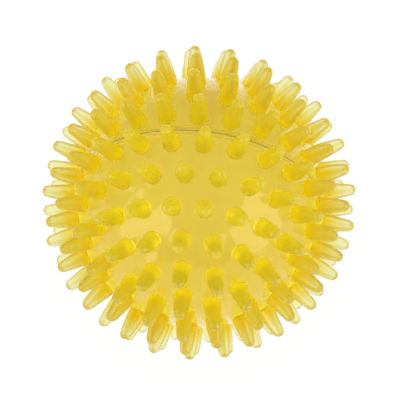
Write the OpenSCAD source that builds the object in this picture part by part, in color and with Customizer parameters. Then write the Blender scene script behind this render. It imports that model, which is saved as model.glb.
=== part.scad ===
// Sensory ball: a hollow ball of soft, hazy-clear vinyl, covered all over in blunt bullet-shaped spikes.
// It is moulded as two half shells with their spikes on, lapped and welded along a seam, and it is
// aired through a push-in valve at the back pole. The mould axis lies along Y, with the front pole
// towards -Y and the seam in the XZ plane. The origin is the centre of the ball.

/* [Shell] */
// Diameter of the round body, without the spikes
body_d = 80; // [70:1:180]
// Thickness of the moulded wall
wall_t = 2.2; // [1.8:0.1:4]

/* [Spikes] */
// Height of a spike above the body
spike_h = 10; // [5:0.5:20]
// Width of a spike at its foot
spike_foot_d = 5.7; // [4:0.1:6.4]
// Diameter of the round tip
spike_tip_d = 3.6; // [2:0.1:4]
// How far the foot flares out where it meets the body
foot_flare = 0.25; // [0.1:0.05:0.4]
// Rings of spikes on each half, between the seam and the pole
ring_count = 6; // [4:1:8]
// Turn of each ring, seam ring first, as a share of the spacing along that ring
ring_turn_shares = [0.5, 0, 0.32, 0, 0, 0]; // [0:0.01:1]
// Turn of the front half's rings about the mould axis, in degrees
front_turn = 94; // [0:1:360]
// Turn of the back half's rings about the mould axis, in degrees
back_turn = 221; // [0:1:360]

/* [Seam] */
// Width of the weld band
band_w = 1.6; // [1:0.1:3]
// How far the weld band stands proud of the body
band_rise = 0.15; // [0.05:0.05:0.5]
// Length of the front half's tongue inside the back half
tongue_l = 2; // [1:0.1:4]
// Thickness of the tongue
tongue_t = 1.2; // [0.8:0.1:1.5]
// Gap that the weld closes between the halves and the band
weld_gap = 0.04; // [0.02:0.01:0.1]

/* [Valve] */
// Diameter of the bush's sleeve
bush_d = 9; // [7.5:0.1:10]
// Diameter of the bush's flange, inside the wall
flange_d = 13; // [11:0.1:16]
// Thickness of the flange
flange_t = 1.6; // [1:0.1:3]
// How far the boss that carries the bush stands in from the wall
boss_h = 1.6; // [1.4:0.1:4]
// How deep the bush lies below the top of the body
bush_inset = 0.3; // [0.2:0.05:0.8]
// Bore of the bush
valve_bore_d = 3.2; // [2:0.1:4.5]
// Diameter of the plug's head
plug_head_d = 6; // [5:0.1:6.6]
// Thickness of the plug's head
plug_head_t = 1.4; // [0.8:0.1:2]
// How far the plug's end reaches past the bush
plug_tail_l = 1.2; // [0.8:0.1:4]
// Chamfer on the plug's end and head
plug_chamfer = 0.4; // [0.2:0.05:0.6]
// Room round the plug's stem in the bore
stem_gap = 0.05; // [0.02:0.01:0.08]
// Room round and under the plug's head
head_gap = 0.3; // [0.1:0.05:0.4]

/* [Hidden] */

$fn = 64;
spike_facets = 32;
// How far a cut runs past what it cuts
overrun = 1;
// How far a spike's side cuts into its round tip, so that the two cross
tip_bite = 0.002;
// Depth of a spike's root, as a share of the wall
root_share = 0.5;

body_r = body_d / 2;
cavity_r = body_r - wall_t;
lap_r = cavity_r + tongue_t;
reach_r = body_r + spike_h + overrun;

// Rings lie at equal steps from the seam to the pole, and the step along a ring is about the same
ring_step = 90 / (ring_count + 1 / 2);
function ring_angle(k) = (k + 1 / 2) * ring_step;
function ring_spikes(k) = 2 * round(180 / ring_step * cos(ring_angle(k)));
function ring_turn_share(k) = k < len(ring_turn_shares) ? ring_turn_shares[k] : 0;

foot_r = spike_foot_d / 2;
tip_r = spike_tip_d / 2;
flare_r = foot_r + foot_flare;
skin_z = sqrt(pow(body_r, 2) - pow(flare_r, 2));
foot_z = skin_z + foot_flare;
tip_z = body_r + spike_h - tip_r;
root_z = skin_z - wall_t * root_share;
// The side runs from the foot to where it all but touches the round tip
side_r = tip_r - tip_bite;
side_angle = acos(side_r / norm([foot_r, tip_z - foot_z])) - atan2(tip_z - foot_z, foot_r);
side_top = [side_r * cos(side_angle), tip_z + side_r * sin(side_angle)];

boss_z = cavity_r - boss_h;
flange_z = boss_z - flange_t;
bush_top_z = body_r - bush_inset;
head_z = bush_top_z - plug_head_t;
bore_r = valve_bore_d / 2;
stem_r = bore_r - stem_gap;
head_r = plug_head_d / 2;
plug_end_z = flange_z - plug_tail_l;

// One spike, standing out from the centre of the ball along Z
module spike() {
    rotate_extrude($fn = spike_facets)
        intersection() {
            union() {
                polygon([
                    [0, root_z],
                    [flare_r + foot_flare, root_z],
                    [flare_r + foot_flare, skin_z - foot_flare],
                    [foot_r, foot_z],
                    side_top,
                    [0, side_top[1]]]);
                translate([0, tip_z])
                    circle(r = tip_r);
            }
            square([body_r, reach_r]);
        }
}

// All spikes of one half but the pole's, with the mould axis along Z; the halves' rings have opposite hands
module spike_rings(turn, hand) {
    for (k = [0 : ring_count - 1])
        for (i = [0 : ring_spikes(k) - 1])
            rotate([0, 0, turn + (i + hand * ring_turn_share(k)) * 360 / ring_spikes(k)])
                rotate([0, 90 - ring_angle(k), 0])
                    spike();
}

// Everything below a height across the mould axis, out past the spikes
module below(height) {
    translate([0, 0, -reach_r])
        cylinder(r = reach_r, h = reach_r + height);
}

// Turns a form from the mould axis along Z to its place on the front or the back
module to_front() {
    rotate([90, 0, 0]) children();
}

module to_back() {
    rotate([-90, 0, 0]) children();
}

module front_shell() {
    color([0.89, 0.77, 0.22, 0.85])
        to_front()
            difference() {
                union() {
                    sphere(r = body_r);
                    spike_rings(front_turn, 1);
                    spike();
                }
                sphere(r = cavity_r);
                below(-tongue_l);
                difference() {
                    below(band_w);
                    sphere(r = lap_r);
                }
            }
}

module back_shell() {
    color([0.89, 0.77, 0.22, 0.85])
        to_back()
            difference() {
                union() {
                    difference() {
                        union() {
                            sphere(r = body_r);
                            spike_rings(back_turn, -1);
                        }
                        sphere(r = cavity_r);
                    }
                    translate([0, 0, boss_z])
                        cylinder(d = flange_d, h = boss_h + wall_t * root_share);
                }
                below(weld_gap);
                intersection() {
                    sphere(r = lap_r + weld_gap);
                    below(tongue_l + weld_gap);
                }
                translate([0, 0, boss_z - overrun])
                    cylinder(d = bush_d + 2 * weld_gap, h = body_r - boss_z + 2 * overrun);
            }
}

module seam_band() {
    color([0.78, 0.68, 0.12, 0.85])
        to_front()
            difference() {
                intersection() {
                    sphere(r = body_r + band_rise);
                    below(band_w - weld_gap);
                }
                sphere(r = lap_r + weld_gap);
                below(0);
            }
}

module valve_bush() {
    color([0.91, 0.84, 0.45, 0.85])
        to_back()
            difference() {
                union() {
                    translate([0, 0, flange_z])
                        cylinder(d = flange_d, h = flange_t - weld_gap);
                    translate([0, 0, flange_z])
                        cylinder(d = bush_d, h = bush_top_z - flange_z);
                }
                translate([0, 0, flange_z - overrun])
                    cylinder(r = bore_r, h = bush_top_z - flange_z + 2 * overrun);
                translate([0, 0, head_z - head_gap])
                    cylinder(r = head_r + head_gap, h = plug_head_t + head_gap + overrun);
            }
}

module valve_plug() {
    color([0.93, 0.88, 0.62, 0.9])
        to_back()
            rotate_extrude()
                polygon([
                    [0, plug_end_z],
                    [stem_r - plug_chamfer, plug_end_z],
                    [stem_r, plug_end_z + plug_chamfer],
                    [stem_r, head_z],
                    [head_r, head_z],
                    [head_r, bush_top_z - plug_chamfer],
                    [head_r - plug_chamfer, bush_top_z],
                    [0, bush_top_z]]);
}

front_shell();
back_shell();
seam_band();
valve_bush();
valve_plug();
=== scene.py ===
"""Sensory ball: two welded, spiked half shells of hazy-clear yellow vinyl, with a push-in air valve."""
import logging
import math
from dataclasses import dataclass, field
from enum import Enum
from typing import Any

import bpy
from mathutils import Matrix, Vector
from mathutils.geometry import delaunay_2d_cdt


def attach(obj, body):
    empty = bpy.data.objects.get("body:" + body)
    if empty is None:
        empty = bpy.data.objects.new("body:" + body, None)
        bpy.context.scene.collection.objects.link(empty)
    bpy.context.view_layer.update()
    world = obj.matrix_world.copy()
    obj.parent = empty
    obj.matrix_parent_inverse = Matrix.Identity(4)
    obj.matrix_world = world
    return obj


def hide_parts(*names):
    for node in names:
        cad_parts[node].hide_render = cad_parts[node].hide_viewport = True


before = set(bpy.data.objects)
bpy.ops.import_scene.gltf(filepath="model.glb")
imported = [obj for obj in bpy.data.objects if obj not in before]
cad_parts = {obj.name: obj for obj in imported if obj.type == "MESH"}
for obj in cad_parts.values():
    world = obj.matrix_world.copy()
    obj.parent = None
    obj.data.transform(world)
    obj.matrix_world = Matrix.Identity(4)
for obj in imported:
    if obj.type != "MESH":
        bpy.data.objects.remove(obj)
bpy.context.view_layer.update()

LOG = logging.getLogger("sensory_ball")

MM = 0.001
# Share of a half turn between neighbours on a spiral that spreads points evenly over a ball
SPIRAL_SHARE = 3 - math.sqrt(5)
# The triangulation's output kind, triangles over the whole outline, and the distance that it takes for none
TRIANGLES_IN_OUTLINE = 0
NO_DISTANCE = 1e-9
# Colour sockets of the Mix node, which has others of the same names
MIX_SHARE, MIX_FIRST, MIX_SECOND, MIX_RESULT = 0, 6, 7, 2

Profile = list[tuple[float, float]]
Zone = tuple[float, float]
Tree = bpy.types.NodeTree
Socket = bpy.types.NodeSocket


class Body(Enum):
    """The moving bodies of the part."""

    BALL = "ball"
    PLUG = "plug"


class Hand(Enum):
    """The two sides of the camera."""

    LEFT = -1
    RIGHT = 1


class Side(Enum):
    """The two halves of the ball, by the way their poles point along the mould axis."""

    FRONT = -1
    BACK = 1

    def place(self, local: Vector) -> Vector:
        """Turns a point from the mould axis along Z to its place on this half.

        Args:
            local: the point in millimetres, with the half's pole towards +Z.

        Returns:
            The point in metres in the shared frame.
        """
        return Vector((local.x, self.value * local.z, -self.value * local.y)) * MM


def linear(hex_colour: str) -> tuple[float, float, float, float]:
    """Turns an sRGB hex colour into linear values.

    Args:
        hex_colour: six hex digits after a hash sign.

    Returns:
        Linear red, green, blue and an alpha of 1.
    """
    parts = [int(hex_colour[i : i + 2], 16) / 255 for i in (1, 3, 5)]
    values = [p / 12.92 if p <= 0.04045 else ((p + 0.055) / 1.055) ** 2.4 for p in parts]
    return (values[0], values[1], values[2], 1.0)


WHITE = linear("#FFFFFF")


def add_node(tree: Tree, kind: str, settings: dict[str, Any] | None = None,
             inputs: dict[str | int, Any] | None = None) -> bpy.types.Node:
    """Adds a node with its settings and inputs.

    Args:
        tree: the node tree that gets the node.
        kind: the node's type name.
        settings: attributes of the node, by name.
        inputs: values or output sockets for the node's inputs, by name or number.

    Returns:
        The new node.
    """
    node = tree.nodes.new(kind)
    for name, value in (settings or {}).items():
        setattr(node, name, value)
    for name, value in (inputs or {}).items():
        if isinstance(value, Socket):
            tree.links.new(value, node.inputs[name])
        else:
            node.inputs[name].default_value = value
    return node


def empty_material(name: str) -> bpy.types.Material:
    """Makes a material with an empty node tree.

    Args:
        name: the material's name.

    Returns:
        The new material.
    """
    material = bpy.data.materials.new(name)
    material.use_nodes = True
    material.node_tree.nodes.clear()
    return material


@dataclass(frozen=True)
class Vinyl:
    """Soft plasticised vinyl, cast against a polished mould outside and left satin inside.

    A tint is the colour that light takes on at a face. The rest of the colour comes from the depth of the
    material. Zones and radii are distances from the ball's centre, in millimetres. The slot is the record's.
    """

    name: str
    slot: str
    wall_tint: str
    wall_tint_pale: str
    root_tint: str
    tip_tint: str
    depth_tint: str
    depth_density: float
    spike_roughness: float
    satin_roughness: float
    satin_r: float
    satin_fade: float = 0.2
    skin_roughness: float = 0.12
    wear: Zone = (0.8, 1.2)
    lap_tint: str = "#F9F1C6"
    lap_middle: float = 39.2
    lap_reach: float = 0.6
    foot_zone: Zone = (40.03, 40.8)
    rise_zone: Zone = (40.4, 46.5)
    tip_zone: Zone = (48.3, 48.9)
    skin_coat: float = 0.5
    side_coat: float = 0.05
    tip_coat: float = 0.6
    coat_ior: float = 1.7
    coat_roughness: float = 0.03
    ior: float = 1.45
    glint: str = "#FFD860"
    cloud_mm: float = 7.0
    cloud_detail: float = 3.0
    ripple_mm: float = 2.4
    ripple_detail: float = 2.0
    ripple_height_mm: float = 0.02
    ripple_strength: float = 0.25

    def colour(self, tree: Tree, depth: Socket, cloud: Socket, onto: Socket) -> Socket:
        """Tints the wall, the welded faces and the spikes.

        Args:
            tree: the material's node tree.
            depth: distance from the ball's centre.
            cloud: how cloudy mixing left the vinyl.
            onto: 0 on the wall and 1 on a spike.

        Returns:
            The tint.
        """
        wall = add_node(tree, "ShaderNodeMix", {"data_type": "RGBA"}, {
            MIX_SHARE: cloud,
            MIX_FIRST: linear(self.wall_tint),
            MIX_SECOND: linear(self.wall_tint_pale)})
        # Faces that lie welded together inside the wall's thickness carry little tint of their own
        lap = add_node(tree, "ShaderNodeMath", {"operation": "COMPARE"},
                       {0: depth, 1: self.lap_middle * MM, 2: self.lap_reach * MM})
        lapped_wall = add_node(tree, "ShaderNodeMix", {"data_type": "RGBA"}, {
            MIX_SHARE: lap.outputs["Value"],
            MIX_FIRST: wall.outputs[MIX_RESULT],
            MIX_SECOND: linear(self.lap_tint)})
        # A spike goes from a deep yellow root to a pale tip
        rise = add_node(tree, "ShaderNodeMapRange", {"interpolation_type": "SMOOTHSTEP"}, {
            "Value": depth, "From Min": self.rise_zone[0] * MM, "From Max": self.rise_zone[1] * MM})
        spike = add_node(tree, "ShaderNodeMix", {"data_type": "RGBA"}, {
            MIX_SHARE: rise.outputs["Result"],
            MIX_FIRST: linear(self.root_tint),
            MIX_SECOND: linear(self.tip_tint)})
        tint = add_node(tree, "ShaderNodeMix", {"data_type": "RGBA"}, {
            MIX_SHARE: onto,
            MIX_FIRST: lapped_wall.outputs[MIX_RESULT],
            MIX_SECOND: spike.outputs[MIX_RESULT]})
        return tint.outputs[MIX_RESULT]

    def roughness(self, tree: Tree, depth: Socket, cloud: Socket, onto: Socket) -> Socket:
        """Makes the wall's skin smooth, the spikes hazier and the cavity satin.

        Args:
            tree: the material's node tree.
            depth: distance from the ball's centre.
            cloud: how cloudy mixing left the vinyl.
            onto: 0 on the wall and 1 on a spike.

        Returns:
            The roughness.
        """
        polish = add_node(tree, "ShaderNodeMapRange", None, {
            "Value": onto, "To Min": self.skin_roughness, "To Max": self.spike_roughness})
        satin = add_node(tree, "ShaderNodeMapRange", {"clamp": True}, {
            "Value": depth,
            "From Min": (self.satin_r - self.satin_fade) * MM,
            "From Max": (self.satin_r + self.satin_fade) * MM,
            "To Min": self.satin_roughness,
            "To Max": polish.outputs["Result"]})
        wear = add_node(tree, "ShaderNodeMapRange", None, {
            "Value": cloud, "To Min": self.wear[0], "To Max": self.wear[1]})
        rough = add_node(tree, "ShaderNodeMath", {"operation": "MULTIPLY"},
                         {0: satin.outputs["Result"], 1: wear.outputs["Result"]})
        return rough.outputs["Value"]

    def gloss(self, tree: Tree, depth: Socket, onto: Socket) -> Socket:
        """Lays gloss on the wall and the spikes' tips, and little on the spikes' sides.

        Args:
            tree: the material's node tree.
            depth: distance from the ball's centre.
            onto: 0 on the wall and 1 on a spike.

        Returns:
            The weight of the glossy coat.
        """
        side = add_node(tree, "ShaderNodeMapRange", None, {
            "Value": onto, "To Min": self.skin_coat, "To Max": self.side_coat})
        tip = add_node(tree, "ShaderNodeMapRange", {"interpolation_type": "SMOOTHSTEP"}, {
            "Value": depth,
            "From Min": self.tip_zone[0] * MM,
            "From Max": self.tip_zone[1] * MM,
            "To Max": self.tip_coat})
        shine = add_node(tree, "ShaderNodeMath", {"operation": "MAXIMUM"},
                         {0: side.outputs["Result"], 1: tip.outputs["Result"]})
        # Gloss lies on the outer skin alone: inside the vinyl it would only lose light
        facing = add_node(tree, "ShaderNodeNewGeometry")
        within = add_node(tree, "ShaderNodeMath", {"operation": "LESS_THAN"}, {0: depth, 1: self.satin_r * MM})
        hidden = add_node(tree, "ShaderNodeMath", {"operation": "MAXIMUM"},
                          {0: facing.outputs["Backfacing"], 1: within.outputs["Value"]})
        coat = add_node(tree, "ShaderNodeMath", {"operation": "SUBTRACT", "use_clamp": True},
                        {0: shine.outputs["Value"], 1: hidden.outputs["Value"]})
        return coat.outputs["Value"]

    def material(self) -> bpy.types.Material:
        """Builds the finish, once for all the pieces that share it.

        Returns:
            The material: clear, with colour at its faces and by depth, gloss outside and satin in the cavity.
        """
        known = bpy.data.materials.get(self.name)
        if known:
            return known
        material = empty_material(self.name)
        tree = material.node_tree
        spot = add_node(tree, "ShaderNodeTexCoord").outputs["Object"]
        ripple = add_node(tree, "ShaderNodeTexNoise", None, {
            "Vector": spot, "Scale": 1 / (self.ripple_mm * MM), "Detail": self.ripple_detail})
        cloud = add_node(tree, "ShaderNodeTexNoise", None, {
            "Vector": spot, "Scale": 1 / (self.cloud_mm * MM), "Detail": self.cloud_detail}).outputs["Fac"]
        depth = add_node(tree, "ShaderNodeVectorMath", {"operation": "LENGTH"}, {0: spot}).outputs["Value"]
        onto = add_node(tree, "ShaderNodeMapRange", {"interpolation_type": "SMOOTHSTEP"}, {
            "Value": depth,
            "From Min": self.foot_zone[0] * MM,
            "From Max": self.foot_zone[1] * MM}).outputs["Result"]
        bump = add_node(tree, "ShaderNodeBump", None, {
            "Height": ripple.outputs["Fac"],
            "Strength": self.ripple_strength,
            "Distance": self.ripple_height_mm * MM})
        surface = add_node(tree, "ShaderNodeBsdfPrincipled", None, {
            "Base Color": self.colour(tree, depth, cloud, onto),
            "Roughness": self.roughness(tree, depth, cloud, onto),
            "Normal": bump.outputs["Normal"],
            "IOR": self.ior,
            "Transmission Weight": 1.0,
            "Specular Tint": linear(self.glint),
            "Coat Weight": self.gloss(tree, depth, onto),
            "Coat IOR": self.coat_ior,
            "Coat Roughness": self.coat_roughness})
        volume = add_node(tree, "ShaderNodeVolumeAbsorption", None, {
            "Color": linear(self.depth_tint), "Density": self.depth_density})
        add_node(tree, "ShaderNodeOutputMaterial", None, {
            "Surface": surface.outputs["BSDF"], "Volume": volume.outputs["Volume"]})
        return material


# Soft vinyl cured on a polished mould: the eye looks through a glossy, clear skin into a satin cavity, and the
# spikes are hazier, deep yellow at the root and almost white at the tip
SPIKED_VINYL = Vinyl(
    name="vinyl_clear_yellow_dip_moulded",
    slot="spiked_vinyl",
    wall_tint="#F3E4A2",
    wall_tint_pale="#F5E7AC",
    root_tint="#FAE46E",
    tip_tint="#F3F2FB",
    depth_tint="#FFFD18",
    depth_density=190.0,
    spike_roughness=0.38,
    satin_roughness=0.36,
    satin_r=38.4,
)
# The same vinyl melted together under a welding bar: almost untinted, so that the seam shows by its edges alone
WELD_VINYL = Vinyl(
    name="vinyl_clear_yellow_welded",
    slot="weld_vinyl",
    wall_tint="#FBF6D8",
    wall_tint_pale="#FCF8E0",
    root_tint="#FCF8E0",
    tip_tint="#FCF8E0",
    depth_tint="#FFFD18",
    depth_density=190.0,
    spike_roughness=0.15,
    satin_roughness=0.3,
    satin_r=38.4,
)
# Softer vinyl, injection moulded: a hazy, paler yellow that hides the bore behind it
VALVE_VINYL = Vinyl(
    name="vinyl_hazy_injection_moulded",
    slot="valve_vinyl",
    wall_tint="#FFF3C4",
    wall_tint_pale="#FFF6D4",
    root_tint="#FFF6D4",
    tip_tint="#FFF6D4",
    depth_tint="#FFFAA0",
    depth_density=300.0,
    spike_roughness=0.3,
    satin_roughness=0.4,
    satin_r=30.0,
)
# Vinyl with less dye, injection moulded: paler and milkier than the bush, so that the plug stands out in it
PLUG_VINYL = Vinyl(
    name="vinyl_milky_injection_moulded",
    slot="plug_vinyl",
    wall_tint="#FFF8DE",
    wall_tint_pale="#FFFBEC",
    root_tint="#FFFBEC",
    tip_tint="#FFFBEC",
    depth_tint="#FFFCC8",
    depth_density=250.0,
    spike_roughness=0.35,
    satin_roughness=0.4,
    satin_r=30.0,
)


@dataclass
class Skin:
    """A mesh under construction, in millimetres with the mould axis along Z."""

    points: list[Vector] = field(default_factory=list)
    faces: list[tuple[int, ...]] = field(default_factory=list)
    sharp: set[tuple[int, int]] = field(default_factory=set)

    def add(self, point: Vector) -> int:
        """Adds a point.

        Args:
            point: the point's place.

        Returns:
            Its number.
        """
        self.points.append(point)
        return len(self.points) - 1

    def ring(self, radius: float, height: float, count: int) -> list[int]:
        """Adds a ring of points about the mould axis.

        Args:
            radius: the ring's radius.
            height: its place along the axis.
            count: how many points it has.

        Returns:
            The points' numbers.
        """
        turns = [2 * math.pi * i / count for i in range(count)]
        return [self.add(Vector((radius * math.cos(t), radius * math.sin(t), height))) for t in turns]

    def strip(self, upper: list[int], lower: list[int]) -> None:
        """Joins two rings with quads that face away from the axis when lower lies below upper.

        Args:
            upper: numbers of the first ring's points.
            lower: numbers of the second ring's points.
        """
        count = len(upper)
        for i in range(count):
            j = (i + 1) % count
            self.faces.append((upper[i], lower[i], lower[j], upper[j]))

    def crease(self, ring: list[int]) -> None:
        """Marks a ring's edges as sharp.

        Args:
            ring: numbers of the ring's points.
        """
        for i, a in enumerate(ring):
            b = ring[(i + 1) % len(ring)]
            self.sharp.add((min(a, b), max(a, b)))

    def lathe(self, start: list[int], profile: Profile, end: list[int] | None = None,
              creased: set[int] | None = None) -> None:
        """Carries a ring on along a profile.

        Args:
            start: numbers of the ring that the profile goes on from.
            profile: radius and height of each later ring; a radius of 0 closes the form.
            end: numbers of a ring that the last one joins, if any.
            creased: places in the profile whose rings are sharp.
        """
        ring = start
        count = len(start)
        for place, (radius, height) in enumerate(profile):
            if radius == 0:
                tip = self.add(Vector((0, 0, height)))
                self.faces += [(ring[i], tip, ring[(i + 1) % count]) for i in range(count)]
                return
            following = self.ring(radius, height, count)
            self.strip(ring, following)
            if place in (creased or set()):
                self.crease(following)
            ring = following
        if end:
            self.strip(ring, end)

    def build(self, name: str, side: Side, material: bpy.types.Material) -> bpy.types.Object:
        """Makes the object.

        Args:
            name: the object's name.
            side: the half whose way the mould axis points.
            material: its finish.

        Returns:
            The new object.
        """
        mesh = bpy.data.meshes.new(name)
        mesh.from_pydata([side.place(p) for p in self.points], [], self.faces)
        mesh.update()
        mesh.shade_smooth()
        for edge in mesh.edges:
            if (min(edge.vertices), max(edge.vertices)) in self.sharp:
                edge.use_edge_sharp = True
        mesh.materials.append(material)
        piece = bpy.data.objects.new(name, mesh)
        bpy.context.scene.collection.objects.link(piece)
        return piece


def arc(radius: float, start: float, stop: float, steps: int) -> Profile:
    """Gives a round profile about the ball's centre.

    Args:
        radius: its radius.
        start: first angle above the seam's plane, in radians.
        stop: last angle.
        steps: how many parts it has.

    Returns:
        Radius and height of each point, both ends included.
    """
    angles = [start + (stop - start) * i / steps for i in range(steps + 1)]
    return [(radius * math.cos(a), radius * math.sin(a)) for a in angles]


def rounded(corners: Profile, roundings: tuple[float, ...], steps: int = 4) -> Profile:
    """Rounds the corners of a profile.

    Args:
        corners: radius and height of each corner in turn, round a closed form or from axis to axis.
        roundings: how far each corner's rounding reaches along its two sides.
        steps: parts of each rounding.

    Returns:
        The rounded profile.
    """
    points: Profile = []
    for i, (corner, size) in enumerate(zip(corners, roundings)):
        if size == 0:
            points.append(corner)
            continue
        here = Vector(corner)
        before = Vector(corners[i - 1])
        after = Vector(corners[(i + 1) % len(corners)])
        a = here + (before - here).normalized() * size
        b = here + (after - here).normalized() * size
        for s in range(steps + 1):
            t = s / steps
            spot = a * (1 - t) ** 2 + here * 2 * t * (1 - t) + b * t**2
            points.append((spot.x, spot.y))
    return points


@dataclass
class Spike:
    """One blunt spike, in millimetres, as it is moulded on the wall."""

    body_r: float = 40.0
    height: float = 10.0
    foot_r: float = 2.85
    tip_r: float = 1.8
    fillet: float = 0.25
    bulge: float = 0.1
    facets: int = 24
    fillet_steps: int = 3
    side_steps: int = 6
    tip_steps: int = 6

    @property
    def ring_r(self) -> float:
        """Radius of the ring where the fillet runs out on the body."""
        return self.foot_r + self.fillet

    @property
    def reach(self) -> float:
        """Angle that the foot takes up, seen from the ball's centre."""
        return math.asin(self.ring_r / self.body_r)

    def profile(self) -> Profile:
        """Gives the side from the fillet's foot to just below the apex.

        Returns:
            Distance from the spike's axis and distance from the ball's centre, foot first.
        """
        skin = math.sqrt(self.body_r**2 - self.ring_r**2)
        points: Profile = []
        for i in range(self.fillet_steps + 1):
            turn = math.pi / 2 * i / self.fillet_steps
            points.append((self.ring_r - self.fillet * math.sin(turn),
                           skin + self.fillet * (1 - math.cos(turn))))
        # The side bulges a little between the fillet and the round tip that it runs tangent to
        tip_z = self.body_r + self.height - self.tip_r
        low = Vector((self.foot_r, skin + self.fillet))
        lean = math.atan2(self.foot_r - self.tip_r, tip_z - low.y)
        high = Vector((self.tip_r * math.cos(lean), tip_z + self.tip_r * math.sin(lean)))
        out = Vector((math.cos(lean), math.sin(lean)))
        for i in range(1, self.side_steps):
            share = i / self.side_steps
            spot = low.lerp(high, share) + out * self.bulge * math.sin(math.pi * share)
            points.append((spot.x, spot.y))
        for i in range(self.tip_steps):
            turn = lean + (math.pi / 2 - lean) * i / self.tip_steps
            points.append((self.tip_r * math.cos(turn), tip_z + self.tip_r * math.sin(turn)))
        return points

    def grow(self, skin: Skin, axis: Vector) -> list[int]:
        """Adds the spike to a skin.

        Args:
            skin: the mesh under construction.
            axis: the way the spike points, from the ball's centre.

        Returns:
            Numbers of the ring at its foot.
        """
        across = axis.orthogonal().normalized()
        along = axis.cross(across)
        turns = [2 * math.pi * i / self.facets for i in range(self.facets)]
        rings = []
        for radius, height in self.profile():
            rings.append([skin.add(axis * height + (across * math.cos(t) + along * math.sin(t)) * radius)
                          for t in turns])
        for lower, upper in zip(rings, rings[1:]):
            skin.strip(upper, lower)
        apex = skin.add(axis * (self.body_r + self.height))
        last = rings[-1]
        skin.faces += [(last[i], last[(i + 1) % self.facets], apex) for i in range(self.facets)]
        return rings[0]


@dataclass
class Piece:
    """A piece of the ball that stands for one CAD node, with its sizes in millimetres."""

    node: str
    side: Side
    finish: Vinyl
    body: Body = Body.BALL

    def dress(self, skin: Skin, making: str) -> bpy.types.Object:
        """Turns a skin into the finished piece, which rides on its body and stands for its node.

        Args:
            skin: the piece's mesh.
            making: how the piece is made, for its name.

        Returns:
            The piece.
        """
        piece = skin.build(f"{self.node}_{making}", self.side, self.finish.material())
        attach(piece, self.body.value)
        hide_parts(self.node)
        return piece


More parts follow.
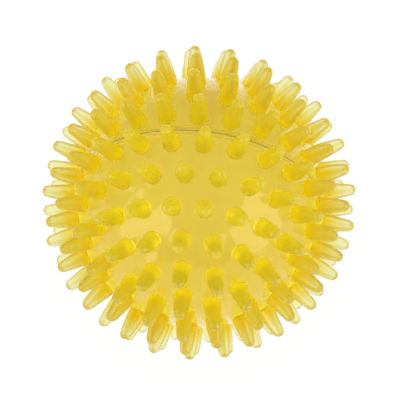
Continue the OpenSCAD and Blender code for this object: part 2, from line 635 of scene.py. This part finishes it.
@dataclass
class HalfShell(Piece):
    """One moulded half of the ball, with its spikes on.

    It has a bore and a boss for the valve if bore_r isn't 0, and a spike on its pole if it is.
    """

    finish: Vinyl = SPIKED_VINYL
    turn: float = 94.0
    spike: Spike = field(default_factory=Spike)
    ring_shares: tuple[float, ...] = (0.5, 0.0, 0.32, 0.0, 0.0, 0.0)
    cavity_r: float = 37.8
    cavity_steps: int = 48
    lap_r: float = 39.0
    edge_z: float = 1.6
    tongue_z: float = -2.0
    bore_r: float = 0.0
    boss_r: float = 6.5
    boss_z: float = 36.2
    around: int = 192
    # Step between the points that fill the body, and the room that they leave, as shares of that step
    spacing: float = 1.7
    edge_room: float = 0.6
    foot_room: float = 0.5

    def axes(self) -> list[Vector]:
        """Gives the way each spike points.

        Returns:
            Ways from the ball's centre, seam ring first, and the pole's spike last where there is one.
        """
        # Rings lie at equal steps from the seam to the pole, the first of them half a step up
        step = 90 / (len(self.ring_shares) + 0.5)
        ways = []
        for k, share in enumerate(self.ring_shares):
            rise = math.radians((k + 0.5) * step)
            count = 2 * round(180 / step * math.cos(rise))
            for i in range(count):
                turn = math.radians(self.turn + (i - self.side.value * share) * 360 / count)
                ways.append(Vector((math.cos(rise) * math.cos(turn), math.cos(rise) * math.sin(turn),
                                    math.sin(rise))))
        if not self.bore_r:
            ways.append(Vector((0, 0, 1)))
        return ways

    def fillers(self, axes: list[Vector]) -> list[Vector]:
        """Gives evenly spread points of the body that keep clear of the spikes and the edges.

        Args:
            axes: the way each spike points.

        Returns:
            The points on the body.
        """
        radius = self.spike.body_r
        total = int(4 * math.pi * radius**2 / self.spacing**2)
        foot = math.cos(self.spike.reach + self.foot_room * self.spacing / radius)
        room = self.edge_room * self.spacing
        spots = []
        for i in range(total // 2):
            height = 1 - (2 * i + 1) / total
            turn = i * math.pi * SPIRAL_SHARE
            flat = math.sqrt(1 - height**2)
            way = Vector((flat * math.cos(turn), flat * math.sin(turn), height))
            if height * radius < self.edge_z + room or flat * radius < self.bore_r + room:
                continue
            if all(way.dot(axis) < foot for axis in axes):
                spots.append(way * radius)
        return spots

    def cover(self, skin: Skin, axes: list[Vector], feet: list[list[int]], holes: list[list[int]]) -> None:
        """Fills the body between the spikes' feet, the seam's edge and the bore.

        Args:
            skin: the mesh under construction.
            axes: the way each spike points.
            feet: the ring at each spike's foot.
            holes: the seam's edge and the bore's edge.
        """
        loops = feet + holes
        numbers = [n for loop in loops for n in loop]
        numbers += [skin.add(p) for p in self.fillers(axes)]
        edges = []
        start = 0
        for loop in loops:
            count = len(loop)
            edges += [(start + i, start + (i + 1) % count) for i in range(count)]
            start += count
        # The triangles are found on a flat map of the half, seen from the opposite pole
        radius = self.spike.body_r
        flat = [Vector((skin.points[n].x, skin.points[n].y)) / (radius + skin.points[n].z) for n in numbers]
        _, _, faces, origins, _, _ = delaunay_2d_cdt(flat, edges, [], TRIANGLES_IN_OUTLINE, NO_DISTANCE)
        within = math.cos(self.spike.reach)
        for face in faces:
            corners = [numbers[origins[v][0]] for v in face]
            centre = sum((skin.points[c] for c in corners), Vector()).normalized()
            if self.bore_r and math.hypot(centre.x, centre.y) * radius < self.bore_r:
                continue
            if any(centre.dot(axis) > within for axis in axes):
                continue
            skin.faces.append(tuple(corners))

    def inside(self) -> tuple[Profile, set[int]]:
        """Gives the profile from the seam's edge round the rim and through the cavity.

        Returns:
            Radius and height of each ring, and the places that are sharp.
        """
        foot = math.asin(self.tongue_z / self.cavity_r)
        rim = [(self.lap_r, self.edge_z), (self.lap_r, self.tongue_z)]
        top = math.acos(self.boss_r / self.cavity_r) if self.bore_r else math.pi / 2
        cavity = arc(self.cavity_r, foot, top, self.cavity_steps)
        creased = {0, 1, 2}
        if self.bore_r:
            corner = len(rim) + self.cavity_steps
            creased |= {corner, corner + 1, corner + 2}
            return rim + cavity + [(self.boss_r, self.boss_z), (self.bore_r, self.boss_z)], creased
        return rim + cavity[:-1] + [(0, self.cavity_r)], creased

    def build(self) -> bpy.types.Object:
        """Makes the half shell.

        Returns:
            The piece, riding on the ball.
        """
        skin = Skin()
        axes = self.axes()
        feet = [self.spike.grow(skin, axis) for axis in axes]
        radius = self.spike.body_r
        edge = skin.ring(math.sqrt(radius**2 - self.edge_z**2), self.edge_z, self.around)
        skin.crease(edge)
        holes = [edge]
        bore = None
        if self.bore_r:
            bore = skin.ring(self.bore_r, math.sqrt(radius**2 - self.bore_r**2), self.around)
            skin.crease(bore)
            holes.append(bore)
        self.cover(skin, axes, feet, holes)
        profile, creased = self.inside()
        skin.lathe(edge, profile, bore, creased)
        return self.dress(skin, "moulded")


@dataclass
class Turned(Piece):
    """A round piece about the mould axis, made from a profile."""

    around: int = 96

    def outline(self) -> Profile:
        """Gives the profile, round a closed form or from axis to axis; each kind of piece has its own."""
        raise NotImplementedError

    def build(self) -> bpy.types.Object:
        """Makes the piece.

        Returns:
            The piece, riding on its body.
        """
        skin = Skin()
        outline = self.outline()
        first_r, first_z = outline[0]
        if first_r == 0:
            tip = skin.add(Vector((0, 0, first_z)))
            start = skin.ring(*outline[1], self.around)
            skin.faces += [(tip, start[i], start[(i + 1) % self.around]) for i in range(self.around)]
            skin.lathe(start, outline[2:])
        else:
            start = skin.ring(first_r, first_z, self.around)
            skin.lathe(start, outline[1:], start)
        return self.dress(skin, "turned")


@dataclass
class WeldBand(Turned):
    """The weld that fills the groove over the lapped halves."""

    node: str = "seam_band"
    side: Side = Side.FRONT
    finish: Vinyl = WELD_VINYL
    around: int = 192
    inner_r: float = 39.04
    width: float = 1.56
    crown_r: float = 40.12
    # Radius that the crown's first angle is taken at
    shoulder_r: float = 40.1
    crown_steps: int = 6

    def outline(self) -> Profile:
        """Gives the band's section, straight inside and round outside."""
        crown = arc(self.crown_r, math.asin(self.width / self.shoulder_r), 0.0, self.crown_steps)
        return [(self.inner_r, 0.0), (self.inner_r, self.width)] + crown


@dataclass
class ValveBush(Turned):
    """The soft bush in the back pole, with its flange inside the wall and a seat for the plug's head."""

    node: str = "valve_bush"
    side: Side = Side.BACK
    finish: Vinyl = VALVE_VINYL
    bore_r: float = 1.6
    seat_r: float = 3.3
    sleeve_r: float = 4.5
    flange_r: float = 6.5
    low_z: float = 34.6
    flange_z: float = 36.16
    seat_z: float = 38.0
    top_z: float = 39.7
    # Rounding of each corner, from the bore's low end up, out and down to the flange's rim
    roundings: tuple[float, ...] = (0.2, 0.1, 0.2, 0.3, 0.25, 0.1, 0.3, 0.4)

    def outline(self) -> Profile:
        """Gives the bush's section, with its corners rounded."""
        return rounded([
            (self.bore_r, self.low_z),
            (self.bore_r, self.seat_z),
            (self.seat_r, self.seat_z),
            (self.seat_r, self.top_z),
            (self.sleeve_r, self.top_z),
            (self.sleeve_r, self.flange_z),
            (self.flange_r, self.flange_z),
            (self.flange_r, self.low_z)], self.roundings)


@dataclass
class ValvePlug(Turned):
    """The push-in plug that closes the bush."""

    node: str = "valve_plug"
    side: Side = Side.BACK
    finish: Vinyl = PLUG_VINYL
    body: Body = Body.PLUG
    head_r: float = 3.0
    stem_r: float = 1.55
    top_z: float = 39.7
    head_z: float = 38.3
    end_z: float = 33.4
    # Rounding of each corner, from the middle of the head's top to the middle of the stem's end
    roundings: tuple[float, ...] = (0, 0.5, 0.3, 0.15, 0.5, 0)

    def outline(self) -> Profile:
        """Gives the plug's profile from its top to its end, with its corners rounded."""
        return rounded([
            (0, self.top_z),
            (self.head_r, self.top_z),
            (self.head_r, self.head_z),
            (self.stem_r, self.head_z),
            (self.stem_r, self.end_z),
            (0, self.end_z)], self.roundings)


@dataclass
class Studio:
    """White floor and surroundings, two softboxes and the camera at the photo's angle, in metres."""

    azimuth: float = 5.94
    elevation: float = 57.52
    distance: float = 0.504
    focal_px: float = 1577.5
    picture_px: int = 400
    shift_px: tuple[float, float] = (1.1, 2.7)
    sensor_mm: float = 36.0
    nearest: float = 0.01
    softbox_power: float = 1.5
    softbox_size: tuple[float, float] = (0.8, 0.8)
    softbox_distance: float = 1.0
    # Where a softbox stands, seen from the ball: to one side, below the camera's line and back towards it
    softbox_aside: float = 0.76
    softbox_below: float = 0.3
    softbox_back: float = 0.58
    tent_glow: float = 0.56
    floor_z: float = -0.0497
    floor_half: float = 3.0
    floor_glow: float = 0.88
    floor_albedo: float = 0.22
    bounces: int = 64

    def way(self) -> Vector:
        """Gives the way from the ball to the camera."""
        az, el = math.radians(self.azimuth), math.radians(self.elevation)
        return Vector((math.cos(el) * math.sin(az), -math.cos(el) * math.cos(az), math.sin(el)))

    def place(self, thing: bpy.types.Object, way: Vector, distance: float) -> None:
        """Puts a camera or lamp so that it looks at the ball.

        Args:
            thing: the camera or lamp.
            way: the way from the ball to it.
            distance: how far off it stands.
        """
        thing.location = way * distance
        thing.rotation_euler = way.to_track_quat("Z", "Y").to_euler()
        bpy.context.scene.collection.objects.link(thing)

    def camera(self) -> None:
        """Sets the camera at the photo's angle."""
        data = bpy.data.cameras.new("photo_camera")
        data.sensor_width = self.sensor_mm
        data.lens = self.focal_px * data.sensor_width / self.picture_px
        data.shift_x = self.shift_px[0] / self.picture_px
        data.shift_y = self.shift_px[1] / self.picture_px
        data.clip_start = self.nearest
        camera = bpy.data.objects.new("photo_camera", data)
        self.place(camera, self.way(), self.distance)
        bpy.context.scene.camera = camera

    def softboxes(self) -> None:
        """Sets a softbox on either side of the camera."""
        back = self.way()
        right = Vector((0, 0, 1)).cross(back).normalized()
        up = back.cross(right)
        area = self.softbox_size[0] * self.softbox_size[1]
        for hand in Hand:
            lamp = bpy.data.lights.new(f"softbox_{hand.name.lower()}", "AREA")
            lamp.shape = "RECTANGLE"
            lamp.size, lamp.size_y = self.softbox_size
            lamp.energy = self.softbox_power * area * math.pi
            thing = bpy.data.objects.new(lamp.name, lamp)
            thing.visible_camera = False
            aside = right * self.softbox_aside * hand.value
            way = (aside - up * self.softbox_below + back * self.softbox_back).normalized()
            self.place(thing, way, self.softbox_distance)

    def world(self) -> None:
        """Sets an even white surround, like a light tent."""
        world = bpy.data.worlds.new("white_tent")
        world.use_nodes = True
        tree = world.node_tree
        tree.nodes.clear()
        glow = add_node(tree, "ShaderNodeBackground", None, {"Color": WHITE, "Strength": self.tent_glow})
        add_node(tree, "ShaderNodeOutputWorld", None, {"Surface": glow.outputs["Background"]})
        bpy.context.scene.world = world

    def card(self) -> bpy.types.Material:
        """Builds the floor's finish.

        Returns:
            Matt white card, which glows where it is seen straight, mirrored or through clear vinyl.
        """
        material = empty_material("white_card_matt")
        tree = material.node_tree
        path = add_node(tree, "ShaderNodeLightPath")
        straight = add_node(tree, "ShaderNodeMath", {"operation": "MAXIMUM"}, {
            0: path.outputs["Is Camera Ray"], 1: path.outputs["Is Transmission Ray"]})
        seen = add_node(tree, "ShaderNodeMath", {"operation": "MAXIMUM"}, {
            0: straight.outputs["Value"], 1: path.outputs["Is Glossy Ray"]})
        level = add_node(tree, "ShaderNodeMath", {"operation": "MULTIPLY"}, {
            0: seen.outputs["Value"], 1: self.floor_glow})
        matt = add_node(tree, "ShaderNodeBsdfDiffuse", None, {
            "Color": (self.floor_albedo, self.floor_albedo, self.floor_albedo, 1.0)})
        glow = add_node(tree, "ShaderNodeEmission", None, {"Color": WHITE, "Strength": level.outputs["Value"]})
        both = add_node(tree, "ShaderNodeAddShader", None, {
            0: matt.outputs["BSDF"], 1: glow.outputs["Emission"]})
        add_node(tree, "ShaderNodeOutputMaterial", None, {"Surface": both.outputs["Shader"]})
        return material

    def floor(self) -> None:
        """Lays a white floor that keeps a faint shadow."""
        half, low = self.floor_half, self.floor_z
        mesh = bpy.data.meshes.new("floor")
        mesh.from_pydata([(-half, -half, low), (half, -half, low), (half, half, low), (-half, half, low)],
                         [], [(0, 1, 2, 3)])
        mesh.materials.append(self.card())
        floor = bpy.data.objects.new("floor", mesh)
        bpy.context.scene.collection.objects.link(floor)

    def build(self) -> None:
        """Sets up the whole studio."""
        self.camera()
        self.softboxes()
        self.world()
        self.floor()
        scene = bpy.context.scene
        scene.view_settings.view_transform = "Standard"
        scene.cycles.max_bounces = self.bounces
        scene.cycles.transmission_bounces = self.bounces
        scene.cycles.glossy_bounces = self.bounces
        scene.cycles.use_denoising = True
        # Blurring after rough bounces would lose light inside the vinyl
        scene.cycles.blur_glossy = 0.0


def main() -> None:
    """Builds the ball and the studio round it."""
    logging.basicConfig(level=logging.INFO, format="%(name)s: %(message)s")
    front = HalfShell("front_shell", Side.FRONT)
    back = HalfShell("back_shell", Side.BACK, turn=221.0, edge_z=0.04, lap_r=39.04, tongue_z=2.04, bore_r=4.54)
    for part in (front, back, WeldBand(), ValveBush(), ValvePlug()):
        piece = part.build()
        LOG.info("%s: %d points, %d faces", piece.name, len(piece.data.vertices), len(piece.data.polygons))
    Studio().build()
    LOG.info("studio: camera, softboxes, surround and floor")


if __name__ == "__main__":
    main()
